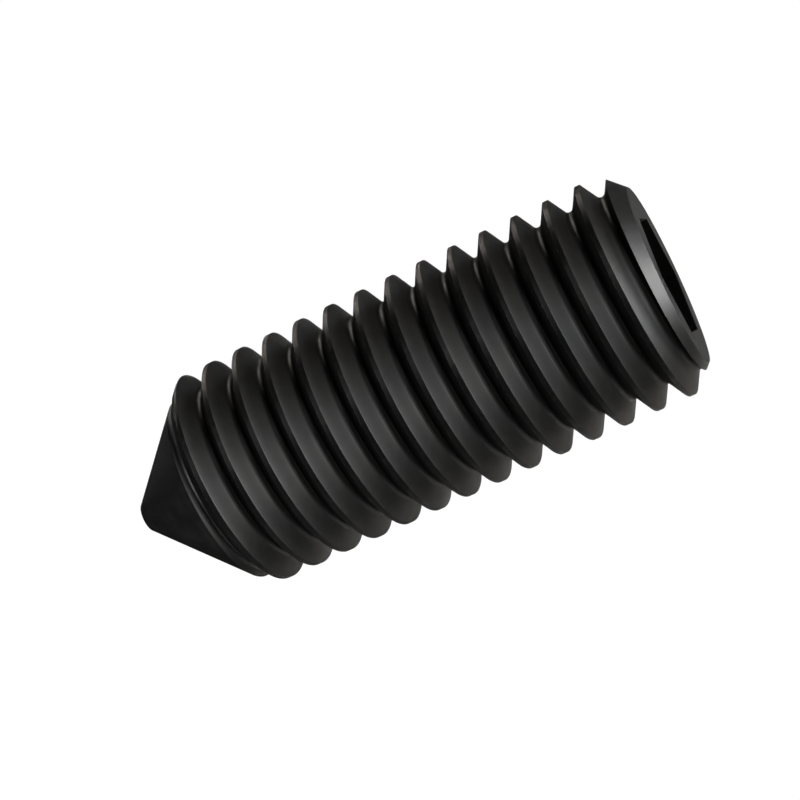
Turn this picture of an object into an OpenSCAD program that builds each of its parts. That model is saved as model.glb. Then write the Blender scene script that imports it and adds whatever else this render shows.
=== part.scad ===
// Hexagon socket set screw with a cone point: metric coarse thread M12 x 1.75, right-hand, 30 mm long.
// The real screw is cut and formed from one bar, so it is one solid. It stands on its socket end, cone up.
// Origin: the centre of the socket-end face. +Z runs along the screw's axis, from the socket end to the point.

/* [Overall] */
// Length from the socket-end face to the tip of the cone
length = 30; // [22:1:60]

/* [Thread] */
// Diameter over the crests
major_d = 11.82; // [11.70:0.01:11.96]
// Distance from one crest to the next, along the axis
pitch = 1.75; // [1.70:0.01:1.80]
// Depth from crest to root, along the radius
thread_depth = 1.02; // [0.90:0.01:1.05]
// Width of the flat on the crest
crest_flat = 0.25; // [0.18:0.01:0.35]
// Radius at the bottom of the root
root_r = 0.26; // [0.20:0.01:0.27]
// Angle round the axis at which a crest meets the plane of the socket-end face
thread_start = 257.6; // [0:0.1:359.9]

/* [Socket end] */
// Diameter of the flat face round the socket
face_d = 9.51; // [8.60:0.01:9.70]
// Angle of the chamfer that cuts the first thread, measured from the face
chamfer_angle = 45; // [30:1:55]
// Hexagon's width across flats
key_af = 6.05; // [6.02:0.01:6.09]
// Depth of the full hexagon
key_depth = 8; // [4.8:0.1:9.5]
// Diameter of the pilot hole at the bottom of the hexagon
pilot_d = 5.9; // [5.00:0.05:6.00]
// Full angle of the pilot hole's pointed end
pilot_angle = 120; // [118:1:140]

/* [Cone point] */
// Full angle of the cone
cone_angle = 90; // [90:1:100]
// Diameter of the small flat at the tip
tip_d = 1.49; // [0.40:0.01:3.00]

/* [Resolution] */
// Facets in one turn of the thread
segments = 32; // [24:4:40]

/* [Hidden] */
$fn = 96;

major_r = major_d / 2;
minor_r = major_r - thread_depth;
face_r = face_d / 2;
tip_r = tip_d / 2;
chamfer_slope = tan(90 - chamfer_angle);
cone_slope = tan(cone_angle / 2);

// The thread's form over one pitch, starting at the first corner of a crest:
// [distance along the axis from the middle of the crest, depth below the crest].
root_x = root_r * cos(30);
root_y = thread_depth - root_r * (1 - sin(30));
form = [
    [-crest_flat / 2, 0],
    [crest_flat / 2, 0],
    [pitch / 2 - root_x, root_y],
    [pitch / 2, thread_depth],
    [pitch / 2 + root_x, root_y]
];
m = len(form);
start_share = (360 - thread_start) / 360;

// The chamfer and the cone meet the roots here. The thread is only between these heights.
low = (minor_r - face_r) / chamfer_slope;
high = length - (minor_r - tip_r) / cone_slope;

// Row i follows one corner of the form round the screw. These give its height at angle 0 and its depth.
function row_z(i) = pitch * (floor(i / m) + start_share) + form[i - m * floor(i / m)][0];
function row_depth(i) = form[i - m * floor(i / m)][1];
first = max([for (i = [-4 * m : 0]) if (row_z(i) + pitch <= low) i]);
last = min([for (i = [0 : m * ceil(length / pitch)]) if (row_z(i) >= high) i]);
rows = last - first + 1;

// Radius of the blank that the thread is rolled on: chamfer, cylinder and cone.
function blank_r(z) = min(major_r, face_r + z * chamfer_slope, tip_r + (length - z) * cone_slope);
// A row that has run out below the thread is drawn together on the chamfer, just above the face.
function settled(z) = z < low ? low * exp((z - low) / pitch) : z;
function at(r, angle, z) = [r * cos(angle), r * sin(angle), z];
function thread_point(i, s) =
    let (z = settled(row_z(i) + pitch * s / segments))
    at(min(major_r - row_depth(i), blank_r(z)), 360 * s / segments, z);

// The threaded outside as one closed surface: a helical grid of rows between the rim of the face and the rim of the tip.
// After one turn each row lies where the row m places above it began, so angle 0 holds m rows more than the others.
module threaded_blank() {
    points = concat(
        [for (s = [0 : segments - 1]) at(face_r, 360 * s / segments, 0)],
        [for (s = [0 : segments - 1]) at(tip_r, 360 * s / segments, length)],
        [for (i = [first : last + m]) thread_point(i, 0)],
        [for (s = [1 : segments - 1]) for (i = [first : last]) thread_point(i, s)]
    );
    base = 2 * segments;
    function rim(s) = s % segments;
    function tip(s) = segments + s % segments;
    // n counts rows from the first one. After the last angle the grid closes on angle 0, m rows up.
    function grid(n, s) =
        s == 0 ? base + n :
        s == segments ? base + n + m :
        base + rows + m + (s - 1) * rows + n;
    faces = concat(
        [[for (s = [0 : segments - 1]) rim(s)]],
        [[for (s = [segments - 1 : -1 : 0]) tip(s)]],
        // Between the rows
        [for (s = [0 : segments - 1]) for (n = [0 : rows - 2]) for (half = [0, 1])
            half == 0
                ? [grid(n, s), grid(n + 1, s + 1), grid(n, s + 1)]
                : [grid(n, s), grid(n + 1, s), grid(n + 1, s + 1)]],
        // From the rim of the face to the first row
        [for (s = [0 : segments - 2]) for (half = [0, 1])
            half == 0
                ? [rim(s), grid(0, s), grid(0, s + 1)]
                : [rim(s), grid(0, s + 1), rim(s + 1)]],
        [[rim(segments - 1), grid(0, segments - 1), rim(0)]],
        [[rim(0), grid(0, segments - 1), grid(0, 0)]],
        [for (n = [0 : m - 1]) [grid(n, 0), grid(0, segments - 1), grid(n + 1, 0)]],
        // From the last row to the rim of the tip
        [for (n = [0 : m - 1]) [grid(rows - 1, 1), grid(rows - 1 + n, 0), grid(rows + n, 0)]],
        [[grid(rows - 1, 1), grid(rows - 1 + m, 0), tip(0)]],
        [[grid(rows - 1, 1), tip(0), tip(1)]],
        [for (s = [1 : segments - 1]) for (half = [0, 1])
            half == 0
                ? [grid(rows - 1, s), tip(s), tip(s + 1)]
                : [grid(rows - 1, s), tip(s + 1), grid(rows - 1, s + 1)]]
    );
    polyhedron(points = points, faces = faces, convexity = 10);
}

// The hexagon, with a corner towards -Y and +Y, and the pointed end of its pilot hole.
module hex_socket() {
    pilot_r = pilot_d / 2;
    translate([0, 0, -1]) rotate([0, 0, 30])
        cylinder(h = key_depth + 1, d = key_af / cos(30), $fn = 6);
    translate([0, 0, key_depth])
        cylinder(h = pilot_r / tan(pilot_angle / 2), r1 = pilot_r, r2 = 0);
}

module set_screw() {
    color([0.17, 0.17, 0.18])
        difference() {
            threaded_blank();
            hex_socket();
        }
}

set_screw();
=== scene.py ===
"""Looks of the set screw: a fine helical mesh of the real thread, black oxide steel, soft studio light and the camera."""

import math

import bpy
import numpy as np
from mathutils import Matrix, Vector


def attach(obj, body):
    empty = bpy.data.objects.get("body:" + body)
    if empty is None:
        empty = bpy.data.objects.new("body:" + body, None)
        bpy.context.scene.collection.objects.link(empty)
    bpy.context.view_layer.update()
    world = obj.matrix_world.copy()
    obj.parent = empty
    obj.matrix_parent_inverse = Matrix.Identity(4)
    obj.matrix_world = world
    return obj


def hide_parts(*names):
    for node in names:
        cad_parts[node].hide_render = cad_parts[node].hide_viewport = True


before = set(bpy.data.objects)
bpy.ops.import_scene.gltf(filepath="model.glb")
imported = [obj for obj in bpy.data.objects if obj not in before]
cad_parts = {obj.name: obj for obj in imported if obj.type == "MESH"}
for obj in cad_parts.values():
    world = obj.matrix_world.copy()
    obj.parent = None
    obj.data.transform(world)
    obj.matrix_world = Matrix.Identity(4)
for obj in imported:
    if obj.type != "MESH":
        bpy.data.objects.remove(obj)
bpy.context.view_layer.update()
scene = bpy.context.scene

# ---------------------------------------------------------------- camera
# The view's own axes in the part's frame. It looks up at the screw from a little below the socket end's plane.
RIGHT = Vector((-0.4179429, 0.2151428, -0.8826309))
UP = Vector((0.9082307, 0.0765, -0.4114179))
BACK = Vector((-0.0209923, -0.9735817, -0.227372))
EYE = Vector((-0.0023365, -0.1083633, -0.0102863))

camera = bpy.data.objects.new("camera", bpy.data.cameras.new("camera"))
scene.collection.objects.link(camera)
camera.data.sensor_width = 36.0
camera.data.lens = 98.441
camera.data.clip_start, camera.data.clip_end = 0.005, 10.0
camera.matrix_world = Matrix.Translation(EYE) @ Matrix((RIGHT, UP, BACK)).transposed().to_4x4()
scene.camera = camera

# ---------------------------------------------------------------- sizes, in millimetres
LENGTH = 30.0
MAJOR_R = 5.91
PITCH = 1.75
DEPTH = 1.02
CREST = 0.25
CREST_EDGE = 0.006  # radius on the two edges of the crest
ROOT_R = 0.26
START = 0.28444  # height of a crest over the face at angle 0, as a share of the pitch
FACE_R = 4.755
CHAMFER = math.radians(45)
KEY_AF = 6.05
KEY_DEPTH = 8.0
PILOT_R = 2.95
PILOT_HALF = math.radians(60)
CONE_HALF = math.radians(45)
TIP_R = 0.745
RIM_EDGE = 0.05  # radius worn on the face's rim
TIP_EDGE = 0.12  # radius worn on the tip's rim
MOUTH_EDGE = 0.03  # width of the broken edge round the hexagon
TURN = 144  # steps in one turn

ROOT = MAJOR_R - DEPTH
CHAMFER_SLOPE = math.tan(math.pi / 2 - CHAMFER)
CONE_SLOPE = math.tan(CONE_HALF)


def thread_form():
    """One pitch of the thread from the middle of a crest: (distance along the axis, depth under the crest)."""
    edge = CREST_EDGE
    corner = CREST / 2 - edge * math.tan(math.radians(30))
    # A row close to each side of a rounding keeps its shading off the flats beside it.
    points = [(0.0, 0.0), (corner - 0.02, 0.0)]
    for k in range(5):
        a = math.radians(15 * k)
        points.append((corner + edge * math.sin(a), edge * (1 - math.cos(a))))
    z0, d0 = points[-1]
    centre = DEPTH - ROOT_R
    turn = math.radians(60)
    z1 = PITCH / 2 - ROOT_R * math.sin(turn)
    d1 = centre + ROOT_R * math.cos(turn)
    for share in (0.03, 0.27, 0.52, 0.77):
        points.append((z0 + (z1 - z0) * share, d0 + (d1 - d0) * share))
    for k in range(6):
        a = turn * (k / 5 - 1)
        points.append((PITCH / 2 + ROOT_R * math.sin(a), centre + ROOT_R * math.cos(a)))
    mirrored = [(PITCH - z, d) for z, d in reversed(points[1:-1])]
    return np.array(points + mirrored)


FORM = thread_form()
M = len(FORM)


def blank(z):
    """Radius of the turned blank at height z."""
    return np.minimum(np.minimum(MAJOR_R, FACE_R + z * CHAMFER_SLOPE), TIP_R + (LENGTH - z) * CONE_SLOPE)


def screw_mesh():
    """Vertices, triangles and sharp edges of the screw, in millimetres, as one closed surface."""
    low = (ROOT - FACE_R) / CHAMFER_SLOPE
    high = LENGTH - (ROOT - TIP_R) / CONE_SLOPE
    row_z = lambda i: PITCH * (i // M + START) + FORM[i % M][0]
    first = max(i for i in range(-4 * M, 1) if row_z(i) + PITCH <= low)
    last = min(i for i in range(0, 20 * M) if row_z(i) >= high)
    rows = last - first + 1
    index = np.arange(first, last + M + 1)
    z_row = PITCH * (index // M + START) + FORM[index % M, 0]
    depth = FORM[index % M, 1]
    # The chamfer's own edge to the face is rounded: where the rounding ends, on the chamfer.
    foot = RIM_EDGE * math.tan((math.pi / 2 - CHAMFER) / 2) * math.sin(math.pi / 2 - CHAMFER)

    verts, grid, sharp = [], np.full((TURN + 1, rows + M), -1, int), np.zeros((TURN + 1, rows + M), bool)
    for s in range(TURN):
        angle = 2 * math.pi * s / TURN
        n = rows + (M if s == 0 else 0)
        nominal = z_row[:n] + PITCH * s / TURN
        t = MAJOR_R - depth[:n]
        settled = foot + (low - foot) * np.exp((nominal - low) / PITCH)
        z = np.where(nominal < low, settled, nominal)
        b = blank(z)
        over = t - b
        over[nominal < low] = np.maximum(over[nominal < low], 1e-9)
        r = np.minimum(t, b)
        # The edge where a flank runs out on the chamfer or the cone passes through corners of the mesh.
        cross = np.flatnonzero((over[:-1] > 0) != (over[1:] > 0))
        moved = set()
        for i in cross:
            share = over[i] / (over[i] - over[i + 1])
            at = i if share < 0.5 else i + 1
            if at in moved:
                continue
            moved.add(at)
            zc = z[i] + share * (z[i + 1] - z[i])
            rc = t[i] + share * (t[i + 1] - t[i])
            z[at], r[at] = zc, min(rc, float(blank(zc)))
            sharp[s, at] = True
        grid[s, :n] = np.arange(len(verts), len(verts) + n)
        c, d = math.cos(angle), math.sin(angle)
        verts.extend(zip(r * c, r * d, z))
    # After a whole turn the grid closes on angle 0, one pitch up.
    grid[TURN, :rows] = grid[0, M : M + rows]
    sharp[TURN, :rows] = sharp[0, M : M + rows]

    faces, hard = [], set()
    for s in range(TURN):
        a, b = grid[s], grid[s + 1]
        sa, sb = sharp[s], sharp[s + 1]
        for n in range(rows - 1):
            p, q, u, v = a[n], a[n + 1], b[n], b[n + 1]
            if sa[n + 1] and sb[n] and not (sa[n] and sb[n + 1]):
                faces += [(p, u, q), (q, u, v)]
            else:
                faces += [(p, u, v), (p, v, q)]
            for x, y, e in ((sa[n], sb[n], (p, u)), (sa[n], sb[n + 1], (p, v)), (sa[n + 1], sb[n], (q, u))):
                if x and y:
                    hard.add(tuple(sorted(e)))

    def ring(r, z):
        """A level ring of corners, r one radius or one for each step."""
        start = len(verts)
        r = np.broadcast_to(r, TURN)
        for s in range(TURN):
            a = 2 * math.pi * s / TURN
            verts.append((r[s] * math.cos(a), r[s] * math.sin(a), z))
        return list(range(start, start + TURN))

    def band(lower, upper):
        """Faces between two rings whose outside is the same as the thread's."""
        for s in range(TURN):
            t = (s + 1) % TURN
            faces.extend([(lower[s], lower[t], upper[t]), (lower[s], upper[t], upper[s])])

    def hard_ring(r):
        for s in range(TURN):
            hard.add(tuple(sorted((r[s], r[(s + 1) % TURN]))))

    # --- the socket end: rounded rim, flat face, mouth of the hexagon, walls, bottom and pilot point
    bend = math.pi / 2 - CHAMFER  # the rounding turns from the face's normal to the chamfer's
    centre_r, centre_z = FACE_R - RIM_EDGE * math.tan((math.pi / 2 - bend) / 2), RIM_EDGE
    rim = []
    for k in range(5):
        a = (math.pi / 2 - bend) * (1 - k / 4)
        rim.append(ring(centre_r + RIM_EDGE * math.sin(a), centre_z - RIM_EDGE * math.cos(a)))
    top = rim[0]
    # From the rim to the first row, with the extra corners of the last step.
    for s in range(TURN - 1):
        faces.extend([(top[s], top[s + 1], grid[s + 1, 0]), (top[s], grid[s + 1, 0], grid[s, 0])])
    wedge = grid[TURN - 1, 0]
    faces.append((wedge, top[TURN - 1], top[0]))
    faces.append((wedge, top[0], grid[0, 0]))
    for n in range(M):
        faces.append((wedge, grid[0, n], grid[0, n + 1]))
    for upper, lower in zip(rim, rim[1:]):
        band(lower, upper)

    angles = 2 * math.pi * np.arange(TURN) / TURN
    turned = np.mod(angles - math.pi / 6, math.pi / 3) - math.pi / 6
    hexagon = (KEY_AF / 2) / np.cos(turned)  # corners at 30, 90, 150 ... degrees
    inner = rim[-1]
    for share in (0.25, 0.5, 0.75):
        r = (1 - share) * centre_r + share * (hexagon + MOUTH_EDGE)
        new = ring(r, 0.0)
        band(new, inner)
        inner = new
    mouth = ring(hexagon * (1 + 2 * MOUTH_EDGE / KEY_AF), 0.0)
    band(mouth, inner)
    socket_first = len(faces)
    walls = [ring(hexagon, MOUTH_EDGE)]
    band(walls[0], mouth)
    hard_ring(mouth)
    hard_ring(walls[0])
    for share in (0.05, 0.15, 0.3, 0.5, 0.75, 1.0):
        walls.append(ring(hexagon, MOUTH_EDGE + (KEY_DEPTH - MOUTH_EDGE) * share))
        band(walls[-1], walls[-2])
    hard_ring(walls[-1])
    corners = [s for s in range(TURN) if abs(abs(turned[s]) - math.pi / 6) < 1e-6]
    for lower, upper in zip(walls, walls[1:]):
        for s in corners:
            hard.add(tuple(sorted((lower[s], upper[s]))))
    shelf = ring(PILOT_R, KEY_DEPTH)
    band(shelf, walls[-1])
    hard_ring(shelf)
    before = shelf
    for share in (0.4, 0.75, 0.93):
        new = ring(PILOT_R * (1 - share), KEY_DEPTH + PILOT_R * share / math.tan(PILOT_HALF))
        band(new, before)
        before = new
    apex = len(verts)
    verts.append((0.0, 0.0, KEY_DEPTH + PILOT_R / math.tan(PILOT_HALF)))
    for s in range(TURN):
        faces.append((apex, before[(s + 1) % TURN], before[s]))
    socket_faces = (socket_first, len(faces))

    # --- the point: cone, rounded rim of the tip, flat
    half = (math.pi / 2 - (math.pi / 2 - CONE_HALF)) / 2
    centre_r, centre_z = TIP_R - TIP_EDGE * math.tan(half), LENGTH - TIP_EDGE
    point = []
    for k in range(7):
        a = (math.pi / 2 - CONE_HALF) * (1 - k / 6)
        point.append(ring(centre_r + TIP_EDGE * math.sin(a), centre_z + TIP_EDGE * math.cos(a)))
    foot_ring = point[0]
    end = rows - 1
    wedge = grid[1, end]
    for n in range(M):
        faces.append((wedge, grid[0, end + n + 1], grid[0, end + n]))
    faces.append((wedge, foot_ring[0], grid[0, end + M]))
    faces.append((wedge, foot_ring[1], foot_ring[0]))
    for s in range(1, TURN):
        a, b = grid[s, end], grid[s + 1, end] if s + 1 < TURN else grid[0, end + M]
        f, g = foot_ring[s], foot_ring[(s + 1) % TURN]
        faces.extend([(a, b, g), (a, g, f)])
    for lower, upper in zip(point, point[1:]):
        band(lower, upper)
    before = point[-1]
    new = ring(centre_r * 0.5, LENGTH)
    band(before, new)
    apex = len(verts)
    verts.append((0.0, 0.0, LENGTH))
    for s in range(TURN):
        faces.append((apex, new[s], new[(s + 1) % TURN]))
    return np.array(verts), np.array(faces), hard, socket_faces


def build_screw():
    verts, faces, hard, socket_faces = screw_mesh()
    mesh = bpy.data.meshes.new("set_screw_body")
    mesh.from_pydata((verts / 1000).tolist(), [], faces.tolist())
    mesh.materials.append(black_oxide())
    mesh.materials.append(socket_walls_painted_shade())
    # The socket's faces take the material with painted shade.
    inside = np.zeros(len(mesh.polygons), np.int32)
    inside[socket_faces[0] : socket_faces[1]] = 1
    mesh.polygons.foreach_set("material_index", inside)
    mesh.validate()
    mesh.shade_smooth()
    mesh.set_sharp_from_angle(angle=math.radians(28))
    keys = {tuple(sorted(e.vertices)): e.index for e in mesh.edges}
    flags = np.zeros(len(mesh.edges), bool)
    mesh.edges.foreach_get("use_edge_sharp", flags)
    for e in hard:
        if e in keys:
            flags[keys[e]] = True
    mesh.edges.foreach_set("use_edge_sharp", flags)
    mesh.update()
    obj = bpy.data.objects.new("set_screw_body", mesh)
    scene.collection.objects.link(obj)
    return obj


# ---------------------------------------------------------------- material
OXIDE = ((0.0368, 0.0368, 0.0373, 1), (0.0442, 0.0438, 0.0432, 1))  # darkest and lightest tone of the oxide
WORN = (0.085, 0.083, 0.08, 1)  # the crests, where the oxide is thinner


class Nodes:
    """Short ways to make and join nodes."""

    def __init__(self, tree):
        self.tree = tree
        tree.nodes.clear()

    def add(self, kind, **settings):
        node = self.tree.nodes.new("ShaderNode" + kind)
        for name, value in settings.items():
            setattr(node, name, value)
        return node

    def put(self, socket, value):
        if isinstance(value, bpy.types.NodeSocket):
            self.tree.links.new(value, socket)
        else:
            socket.default_value = value

    def math(self, operation, *values):
        node = self.add("Math", operation=operation)
        for socket, value in zip(node.inputs, values):
            self.put(socket, value)
        return node.outputs[0]

    def noise(self, vector, scale, detail, roughness=0.5):
        node = self.add("TexNoise")
        self.put(node.inputs["Vector"], vector)
        self.put(node.inputs["Scale"], scale)
        self.put(node.inputs["Detail"], detail)
        self.put(node.inputs["Roughness"], roughness)
        return node.outputs["Fac"]

    def spread(self, value, low, high, to_low, to_high):
        node = self.add("MapRange", interpolation_type="SMOOTHSTEP")
        for socket, v in zip(node.inputs, (value, low, high, to_low, to_high)):
            self.put(socket, v)
        return node.outputs[0]

    def mix(self, share, a, b):
        node = self.add("Mix", data_type="RGBA")
        self.put(node.inputs[0], share)
        self.put(node.inputs[6], a)
        self.put(node.inputs[7], b)
        return node.outputs[2]


def black_oxide():
    """Satin black oxide on steel: uneven in tone and gloss, thinner on the crests, over fine lines left by the tools."""
    mat = bpy.data.materials.new("black_oxide_steel_finish")
    mat.use_nodes = True
    n = Nodes(mat.node_tree)
    out = n.add("OutputMaterial")
    bsdf = n.add("BsdfPrincipled")
    n.put(out.inputs["Surface"], bsdf.outputs[0])
    bsdf.inputs["Metallic"].default_value = 1.0
    place = n.add("TexCoord").outputs["Object"]
    split = n.add("SeparateXYZ")
    n.put(split.inputs[0], place)
    x, y, z = split.outputs
    radius = n.math("SQRT", n.math("ADD", n.math("MULTIPLY", x, x), n.math("MULTIPLY", y, y)))

    # Tone: cloudy patches some 2 mm across, finer spots in them, and worn crests in broken stretches
    cloud = n.noise(place, 420.0, 4.0, 0.55)
    spots = n.noise(place, 2600.0, 3.0, 0.6)
    tone = n.mix(n.spread(n.math("ADD", n.math("MULTIPLY", cloud, 0.7), n.math("MULTIPLY", spots, 0.3)), 0.36, 0.64, 0.0, 1.0), *OXIDE)
    crest = n.spread(radius, (MAJOR_R - 0.012) / 1000, (MAJOR_R - 0.003) / 1000, 0.0, 1.0)
    worn = n.math("MULTIPLY", crest, n.spread(n.noise(place, 900.0, 5.0, 0.6), 0.5, 0.68, 0.0, 0.55))
    n.put(bsdf.inputs["Base Color"], n.mix(worn, tone, WORN))

    # Gloss: a little smoother where it is rubbed
    rough = n.spread(n.noise(place, 1300.0, 4.0, 0.6), 0.3, 0.7, 0.34, 0.39)
    n.put(bsdf.inputs["Roughness"], n.math("SUBTRACT", rough, n.math("MULTIPLY", worn, 0.08)))

    # Relief: rings at one radius, as turning and rolling leave them, and the grain of the oxide
    ring = n.add("CombineXYZ")
    n.put(ring.inputs[0], radius)
    rings = n.noise(ring.outputs[0], 9000.0, 2.0, 0.5)
    grain = n.noise(place, 9000.0, 3.0, 0.6)
    height = n.math("ADD", n.math("MULTIPLY", rings, 0.6), n.math("MULTIPLY", grain, 0.4))
    bump = n.add("Bump")
    n.put(bump.inputs["Strength"], 0.6)
    n.put(bump.inputs["Distance"], 3e-6)
    n.put(bump.inputs["Height"], height)
    n.put(bsdf.inputs["Normal"], bump.outputs[0])
    return mat


def socket_walls_painted_shade():
    """The walls of the hexagon: painted shade, a near-black matt oxide far darker than outside that stands in for the
    shade deep in the socket, with lines along the axis from the punch.
    """
    mat = bpy.data.materials.new("socket_oxide_painted_shade")
    mat.use_nodes = True
    n = Nodes(mat.node_tree)
    out = n.add("OutputMaterial")
    bsdf = n.add("BsdfPrincipled")
    n.put(out.inputs["Surface"], bsdf.outputs[0])
    # Painted shade: a weak reflection keeps the walls dark, as shade in the deep socket would.
    bsdf.inputs["Specular IOR Level"].default_value = 0.03
    place = n.add("TexCoord").outputs["Object"]
    stretch = n.add("Mapping")
    n.put(stretch.inputs["Vector"], place)
    stretch.inputs["Scale"].default_value = (1.0, 1.0, 0.04)
    lines = n.noise(stretch.outputs[0], 5200.0, 3.0, 0.6)
    # Painted shade: near-black colour, far darker than the oxide outside, for the shade in the socket; the punch lines
    # vary it a little.
    n.put(bsdf.inputs["Base Color"], n.mix(n.spread(lines, 0.35, 0.65, 0.0, 1.0), (0.0014, 0.0014, 0.0014, 1), (0.003, 0.003, 0.003, 1)))
    n.put(bsdf.inputs["Roughness"], n.spread(lines, 0.3, 0.7, 0.5, 0.62))
    bump = n.add("Bump")
    n.put(bump.inputs["Strength"], 0.6)
    n.put(bump.inputs["Distance"], 4e-6)
    n.put(bump.inputs["Height"], lines)
    n.put(bsdf.inputs["Normal"], bump.outputs[0])
    return mat


# ---------------------------------------------------------------- stage and light
def way_to(towards):
    """A direction given as (right, up, back) of the main view, in the part's frame."""
    return (RIGHT * towards[0] + UP * towards[1] + BACK * towards[2]).normalized()


def area(name, towards, distance, size, power, colour=(1, 1, 1)):
    """A soft square lamp. towards is its place seen from the screw's middle, as (right, up, back) of the main view."""
    light = bpy.data.lights.new(name, "AREA")
    light.shape = "SQUARE"
    light.size = size
    light.energy = power
    light.color = colour
    light.cycles.use_multiple_importance_sampling = False
    obj = bpy.data.objects.new(name, light)
    scene.collection.objects.link(obj)
    way = way_to(towards)
    obj.location = Vector((0, 0, 0.015)) + way * distance
    obj.rotation_euler = way.to_track_quat("Z", "Y").to_euler()
    return obj


# The studio's soft boxes as the steel reflects them: direction (right, up, back), tightness, colour and strength.
SOFT_BOXES = (
    ((0.910, 0.276, 0.311), 40.0, (1.034, 1.000, 0.931), 3.166),
    ((0.721, 0.417, 0.553), 10.0, (0.947, 1.000, 1.090), 0.7228),
    ((0.901, 0.432, -0.038), 25.0, (0.955, 1.000, 1.042), 1.134),
    ((0.380, 0.495, 0.781), 8.0, (1.049, 1.000, 0.954), 0.3433),
    ((0.700, -0.697, -0.156), 8.0, (0.951, 1.000, 1.054), 0.2576),
    ((0.637, -0.405, 0.656), 8.0, (1.052, 1.000, 0.928), 0.2352),
    ((0.287, 0.916, 0.281), 8.0, (0.963, 1.000, 1.015), 0.2331),
    ((-0.615, 0.191, 0.765), 25.0, (0.996, 1.000, 1.003), 0.6776),
    ((-0.599, -0.750, 0.280), 10.0, (0.991, 1.000, 0.973), 0.2581),
    ((0.764, 0.644, -0.031), 8.0, (1.149, 1.000, 0.759), 0.1642),
    ((0.965, -0.212, 0.156), 8.0, (0.907, 1.000, 1.014), 0.1547),
    ((0.685, -0.317, -0.656), 8.0, (1.072, 1.000, 0.811), 0.1043),
    ((0.401, 0.187, -0.897), 12.0, (1.043, 1.000, 0.970), 0.075),
)
# Lamps that cast shadows: name, the same, at 1 m.
LAMPS = (
    ("lamp_1", (-0.919, -0.300, 0.254), 28.0, (1.001, 1.000, 1.002), 7.177),
    ("lamp_2", (0.851, 0.374, 0.368), 25.0, (0.979, 1.000, 1.097), 4.153),
    ("lamp_3", (0.901, 0.432, -0.038), 25.0, (0.922, 1.000, 0.988), 3.289),
    ("lamp_4", (-0.460, -0.885, -0.071), 12.0, (1.000, 1.000, 1.007), 1.548),
    ("lamp_5", (0.721, 0.417, 0.553), 12.0, (0.994, 1.000, 0.976), 1.37),
    ("lamp_6", (0.910, 0.276, 0.311), 40.0, (1.006, 1.000, 0.935), 4.446),
    ("lamp_7", (-0.863, 0.356, -0.357), 12.0, (0.995, 1.000, 0.989), 0.8315),
    ("lamp_8", (-0.486, 0.675, -0.555), 30.0, (1.103, 1.000, 0.910), 1.791),
    ("lamp_9", (0.656, 0.735, 0.170), 40.0, (0.995, 1.000, 1.017), 2.267),
    ("lamp_10", (0.817, -0.363, -0.448), 2.4, (1.092, 1.000, 0.947), 0.1257),
    ("lamp_11", (0.801, 0.510, 0.313), 40.0, (1.012, 1.000, 0.841), 1.69),
    ("lamp_12", (0.876, 0.466, 0.124), 30.0, (1.195, 1.000, 1.060), 1.195),
    ("lamp_13", (0.371, 0.000, 0.929), 12.0, (0.968, 1.000, 0.968), 0.4675),
    ("lamp_14", (-0.169, 0.250, -0.953), 12.0, (1.021, 1.000, 1.001), 0.2082),
    ("lamp_15", (0.447, 0.750, -0.488), 12.0, (0.978, 1.000, 1.016), 0.1577),
    ("lamp_16", (0.367, -0.784, -0.500), 12.0, (0.992, 1.000, 0.964), 0.1505),
    ("lamp_17", (0.362, -0.080, -0.929), 12.0, (0.948, 1.000, 1.048), 0.08496),
)


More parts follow.
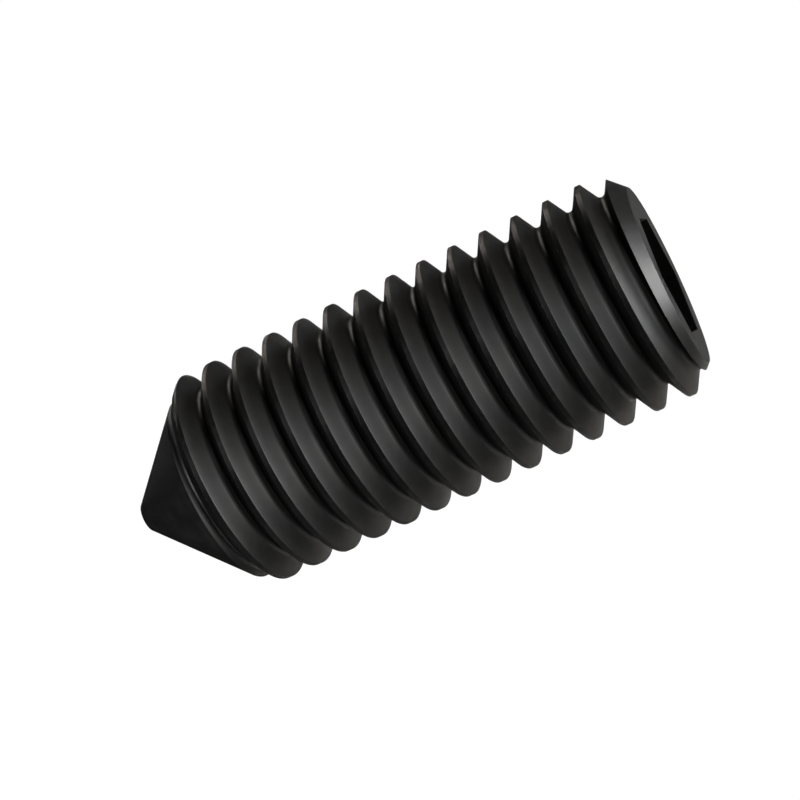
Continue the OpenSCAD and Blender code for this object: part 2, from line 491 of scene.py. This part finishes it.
def stage():
    world = bpy.data.worlds.new("world")
    scene.world = world
    world.use_nodes = True
    world.cycles.sampling_method = "NONE"
    n = Nodes(world.node_tree)
    out = n.add("OutputWorld")
    to_eye = n.add("MixShader")
    n.put(out.inputs[0], to_eye.outputs[0])
    n.put(to_eye.inputs[0], n.add("LightPath").outputs["Is Camera Ray"])
    white = n.add("Background")
    white.inputs[0].default_value = (1, 1, 1, 1)
    white.inputs[1].default_value = 1.02
    n.put(to_eye.inputs[2], white.outputs[0])
    way = n.add("TexCoord").outputs["Generated"]
    total = None
    for towards, tight, colour, strength in SOFT_BOXES:
        dot = n.add("VectorMath", operation="DOT_PRODUCT")
        n.put(dot.inputs[0], way)
        dot.inputs[1].default_value = way_to(towards)
        box = n.add("Background")
        box.inputs[0].default_value = (*colour, 1)
        fall = n.math("EXPONENT", n.math("MULTIPLY", n.math("SUBTRACT", dot.outputs["Value"], 1.0), tight))
        n.put(box.inputs[1], n.math("MULTIPLY", fall, strength))
        if total:
            both = n.add("AddShader")
            n.put(both.inputs[0], total)
            n.put(both.inputs[1], box.outputs[0])
            total = both.outputs[0]
        else:
            total = box.outputs[0]
    n.put(to_eye.inputs[1], total)

    for name, towards, tight, colour, strength in LAMPS:
        side = math.sqrt(2 * math.pi / tight)
        area(name, towards, 1.0, side, strength * math.pi * side * side, colour)

    mesh = bpy.data.meshes.new("floor")
    count, size = 96, 0.4
    edge = [(size * math.cos(2 * math.pi * k / count), size * math.sin(2 * math.pi * k / count), -1e-5) for k in range(count)]
    mesh.from_pydata(edge, [], [list(range(count))])
    floor = bpy.data.objects.new("floor", mesh)
    mat = bpy.data.materials.new("pale_floor")
    mat.use_nodes = True
    n = Nodes(mat.node_tree)
    out = n.add("OutputMaterial")
    mix = n.add("MixShader")
    pale = n.add("BsdfDiffuse")
    pale.inputs[0].default_value = (0.85, 0.85, 0.85, 1)
    # It is see-through from below, and its rim fades out, so that no edge shows in a low view.
    far = n.add("VectorMath", operation="LENGTH")
    n.put(far.inputs[0], n.add("TexCoord").outputs["Object"])
    fade = n.spread(far.outputs["Value"], 0.1, 0.35, 0.0, 1.0)
    n.put(mix.inputs[0], n.math("MAXIMUM", n.add("NewGeometry").outputs["Backfacing"], fade))
    n.put(mix.inputs[1], pale.outputs[0])
    n.put(mix.inputs[2], n.add("BsdfTransparent").outputs[0])
    n.put(out.inputs["Surface"], mix.outputs[0])
    mesh.materials.append(mat)
    # It takes shadows and shows from above, and it lets the lamps under it reach the screw.
    floor.visible_shadow = floor.visible_diffuse = floor.visible_glossy = floor.visible_transmission = False
    # The lamp over the floor lights the floor only.
    ground = bpy.data.collections.new("ground")
    scene.collection.children.link(ground)
    ground.objects.link(floor)
    over = area("over", (0, 0, 1), 1.0, 0.55, 1.0)
    over.location = (-0.15, -0.25, 0.8)
    over.rotation_euler = (over.location - Vector((0, 0, 0))).to_track_quat("Z", "Y").to_euler()
    over.data.energy = 14.0
    over.light_linking.receiver_collection = ground


screw = build_screw()
# The steel reflects the soft boxes as if nothing stood before them, and the lamps cast its shadows.
screw.visible_glossy = screw.visible_diffuse = False
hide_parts("set_screw")
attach(screw, "root")
stage()
scene.view_settings.view_transform = "Standard"
